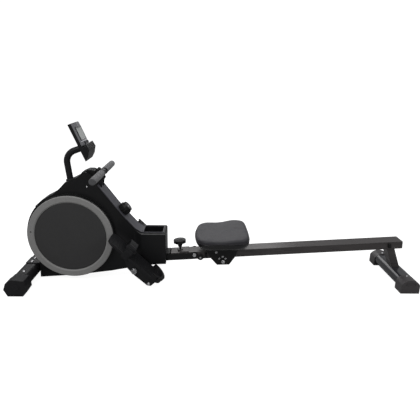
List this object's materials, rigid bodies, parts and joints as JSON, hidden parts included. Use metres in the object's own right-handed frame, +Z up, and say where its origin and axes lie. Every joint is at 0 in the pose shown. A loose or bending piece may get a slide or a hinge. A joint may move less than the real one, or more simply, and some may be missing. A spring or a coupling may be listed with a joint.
{
  "type": "rowing machine",
  "caption": "Folding magnetic rowing machine: flywheel housing with side discs, console, pull handle, footplates and a sliding seat on a hinged rail.",
  "frame": {"origin": "middle of the footprint on the floor", "axes": "+X from the flywheel housing to the rear foot, +Y to the seated rower's right, +Z up"},
  "size_m": [1.96, 0.478, 0.773],
  "materials": {
    "frame_paint": "black powder coat, fine texture",
    "bracket_paint": "black powder coat",
    "rail_paint": "dark grey metallic paint, satin, long scuffs",
    "rear_tube_paint": "glossy black paint",
    "housing_plastic": "satin black moulded plastic, fine grain",
    "slope_plastic": "satin dark grey moulded plastic",
    "ring_plastic": "satin warm grey plastic",
    "disc_plastic": "matt dark grey plastic, faint rings",
    "cap_plastic": "matt black moulded plastic",
    "rear_cap_plastic": "satin black moulded plastic",
    "steel_bolt": "zinc-plated steel",
    "console_black": "satin black plastic",
    "console_grey": "satin grey plastic",
    "lcd": "glossy light grey display window",
    "button_rubber": "soft matt rubber",
    "axle_steel": "turned steel",
    "wheel_iron": "turned cast iron",
    "magnet_steel": "bare steel with magnets",
    "pulley_plastic": "glass-filled nylon",
    "belt_rubber": "ribbed rubber belt",
    "webbing": "woven black webbing",
    "knob_plastic": "black moulded plastic with ribs",
    "foam_grip": "grey foam rubber",
    "handle_steel": "black painted tube",
    "pedal_plastic": "grained black plastic",
    "stop_rubber": "black rubber bumper",
    "roller_plastic": "hard nylon tread",
    "seat_shell": "glossy black moulding",
    "seat_vinyl": "dark grey grained vinyl"
  },
  "bodies": {
    "frame": {"main_frame": "frame_paint", "hinge_bracket": "bracket_paint", "axle_plates": "frame_paint", "front_stabiliser": "frame_paint", "front_cap_left": "cap_plastic", "front_cap_right": "cap_plastic", "stabiliser_bolts": "steel_bolt", "cover_left": "housing_plastic", "cover_right": "housing_plastic", "slope_cover": "slope_plastic", "tray_box": "housing_plastic", "roller_hood": "housing_plastic", "ring_left": "ring_plastic", "ring_right": "ring_plastic", "disc_left": "disc_plastic", "disc_right": "disc_plastic", "cover_screws": "steel_bolt", "handle_cradle": "cap_plastic", "console_arm": "frame_paint", "console_back": "console_black", "console_face": "console_grey", "lcd_screen": "lcd", "pedal_axle": "axle_steel", "pedal_nuts": "steel_bolt", "wheel_axles": "axle_steel", "drive_belt": "belt_rubber", "pull_strap": "webbing", "hinge_bolts": "steel_bolt"},
    "guide_roller": {"guide_roller": "pulley_plastic"},
    "strap_reel": {"strap_reel": "pulley_plastic"},
    "drive_pulley": {"drive_pulley": "pulley_plastic"},
    "flywheel": {"flywheel": "wheel_iron"},
    "magnet_bracket": {"magnet_bracket": "magnet_steel"},
    "tension_knob": {"tension_knob": "knob_plastic"},
    "handle": {"handle_bar": "handle_steel", "grip_left": "foam_grip", "grip_right": "foam_grip", "strap_clamp": "cap_plastic"},
    "pedal_left": {"pedal_left": "pedal_plastic", "foot_strap_left": "webbing"},
    "pedal_right": {"pedal_right": "pedal_plastic", "foot_strap_right": "webbing"},
    "button_left": {"button_left": "button_rubber"},
    "button_middle": {"button_middle": "button_rubber"},
    "button_right": {"button_right": "button_rubber"},
    "rail": {"rail_beam": "rail_paint", "hinge_lugs": "bracket_paint", "rail_end_cap": "rear_cap_plastic", "rear_post": "rail_paint", "rear_stabiliser": "rear_tube_paint", "rear_caps": "rear_cap_plastic", "rear_bolts": "steel_bolt", "seat_stops": "stop_rubber"},
    "lock_knob": {"lock_knob": "knob_plastic"},
    "seat": {"carriage": "bracket_paint", "seat_pan": "seat_shell", "seat_pad": "seat_vinyl"},
    "roller_front": {"roller_front": "roller_plastic"},
    "roller_rear": {"roller_rear": "roller_plastic"},
    "roller_lower": {"roller_lower": "roller_plastic"}
  },
  "joints": [
    {"name": "rail_fold", "type": "hinge", "parent": "frame", "child": "rail", "pos_m": [-0.108, 0, 0.128], "axis": [0, -1, 0], "range_deg": [0, 78]},
    {"name": "lock_turn", "type": "hinge", "parent": "rail", "child": "lock_knob", "pos_m": [-0.17886, 0, 0.12354], "axis": [-0.0628, 0, 0.998], "range_deg": [0, 90]},
    {"name": "seat_slide", "type": "slide", "parent": "rail", "child": "seat", "axis": [0.998, 0, 0.0628], "range_m": [0, 0.76]},
    {"name": "roller_front_spin", "type": "hinge", "parent": "seat", "child": "roller_front", "pos_m": [-0.0072, 0, 0.1662], "axis": [0, 1, 0], "range_deg": [0, 2570]},
    {"name": "roller_rear_spin", "type": "hinge", "parent": "seat", "child": "roller_rear", "pos_m": [0.07065, 0, 0.1711], "axis": [0, 1, 0], "range_deg": [0, 2570]},
    {"name": "roller_lower_spin", "type": "hinge", "parent": "seat", "child": "roller_lower", "pos_m": [0.03625, 0, 0.0967], "axis": [0, -1, 0], "range_deg": [0, 2570]},
    {"name": "handle_pull", "type": "slide", "parent": "frame", "child": "handle", "axis": [0.9976, 0, 0.0698], "range_m": [0, 1.1], "stiffness_N_per_m": 20, "springref_m": -0.4, "deforming": ["pull_strap"]},
    {"name": "reel_spin", "type": "hinge", "parent": "frame", "child": "strap_reel", "pos_m": [-0.705, 0, 0.233], "axis": [0, 1, 0], "range_deg": [0, 1470]},
    {"name": "guide_spin", "type": "hinge", "parent": "frame", "child": "guide_roller", "pos_m": [-0.61, 0, 0.52013], "axis": [0, 1, 0], "range_deg": [0, 4330]},
    {"name": "flywheel_spin", "type": "hinge", "parent": "frame", "child": "flywheel", "pos_m": [-0.52, 0, 0.24], "axis": [0, 1, 0], "continuous": true},
    {"name": "pulley_spin", "type": "hinge", "parent": "frame", "child": "drive_pulley", "pos_m": [-0.705, 0, 0.233], "axis": [0, 1, 0], "continuous": true},
    {"name": "tension_turn", "type": "hinge", "parent": "frame", "child": "tension_knob", "pos_m": [-0.4626, 0, 0.3485], "axis": [0.7771, 0, 0.6293], "range_deg": [0, 300]},
    {"name": "magnet_swing", "type": "hinge", "parent": "frame", "child": "magnet_bracket", "pos_m": [-0.615, 0, 0.32], "axis": [0, -1, 0], "range_deg": [0, 6]},
    {"name": "pedal_left_tilt", "type": "hinge", "parent": "frame", "child": "pedal_left", "pos_m": [-0.386, -0.145, 0.114], "axis": [0, -1, 0], "range_deg": [0, 25]},
    {"name": "pedal_right_tilt", "type": "hinge", "parent": "frame", "child": "pedal_right", "pos_m": [-0.386, 0.145, 0.114], "axis": [0, -1, 0], "range_deg": [0, 25]},
    {"name": "button_left_press", "type": "slide", "parent": "frame", "child": "button_left", "axis": [-0.9205, 0, -0.3907], "range_m": [0, 0.0012], "stiffness_N_per_m": 400, "springref_m": -0.0005},
    {"name": "button_middle_press", "type": "slide", "parent": "frame", "child": "button_middle", "axis": [-0.9205, 0, -0.3907], "range_m": [0, 0.0012], "stiffness_N_per_m": 400, "springref_m": -0.0005},
    {"name": "button_right_press", "type": "slide", "parent": "frame", "child": "button_right", "axis": [-0.9205, 0, -0.3907], "range_m": [0, 0.0012], "stiffness_N_per_m": 400, "springref_m": -0.0005}
  ],
  "couplings": [
    {"joint": "roller_front_spin", "follows": "seat_slide", "rad_per_m": 58.824},
    {"joint": "roller_rear_spin", "follows": "seat_slide", "rad_per_m": 58.824},
    {"joint": "roller_lower_spin", "follows": "seat_slide", "rad_per_m": 58.824},
    {"joint": "reel_spin", "follows": "handle_pull", "rad_per_m": 23.202},
    {"joint": "guide_spin", "follows": "handle_pull", "rad_per_m": 68.493},
    {"joint": "pulley_spin", "follows": "flywheel_spin", "ratio": 0.22},
    {"joint": "magnet_swing", "follows": "tension_turn", "ratio": 0.02}
  ]
}
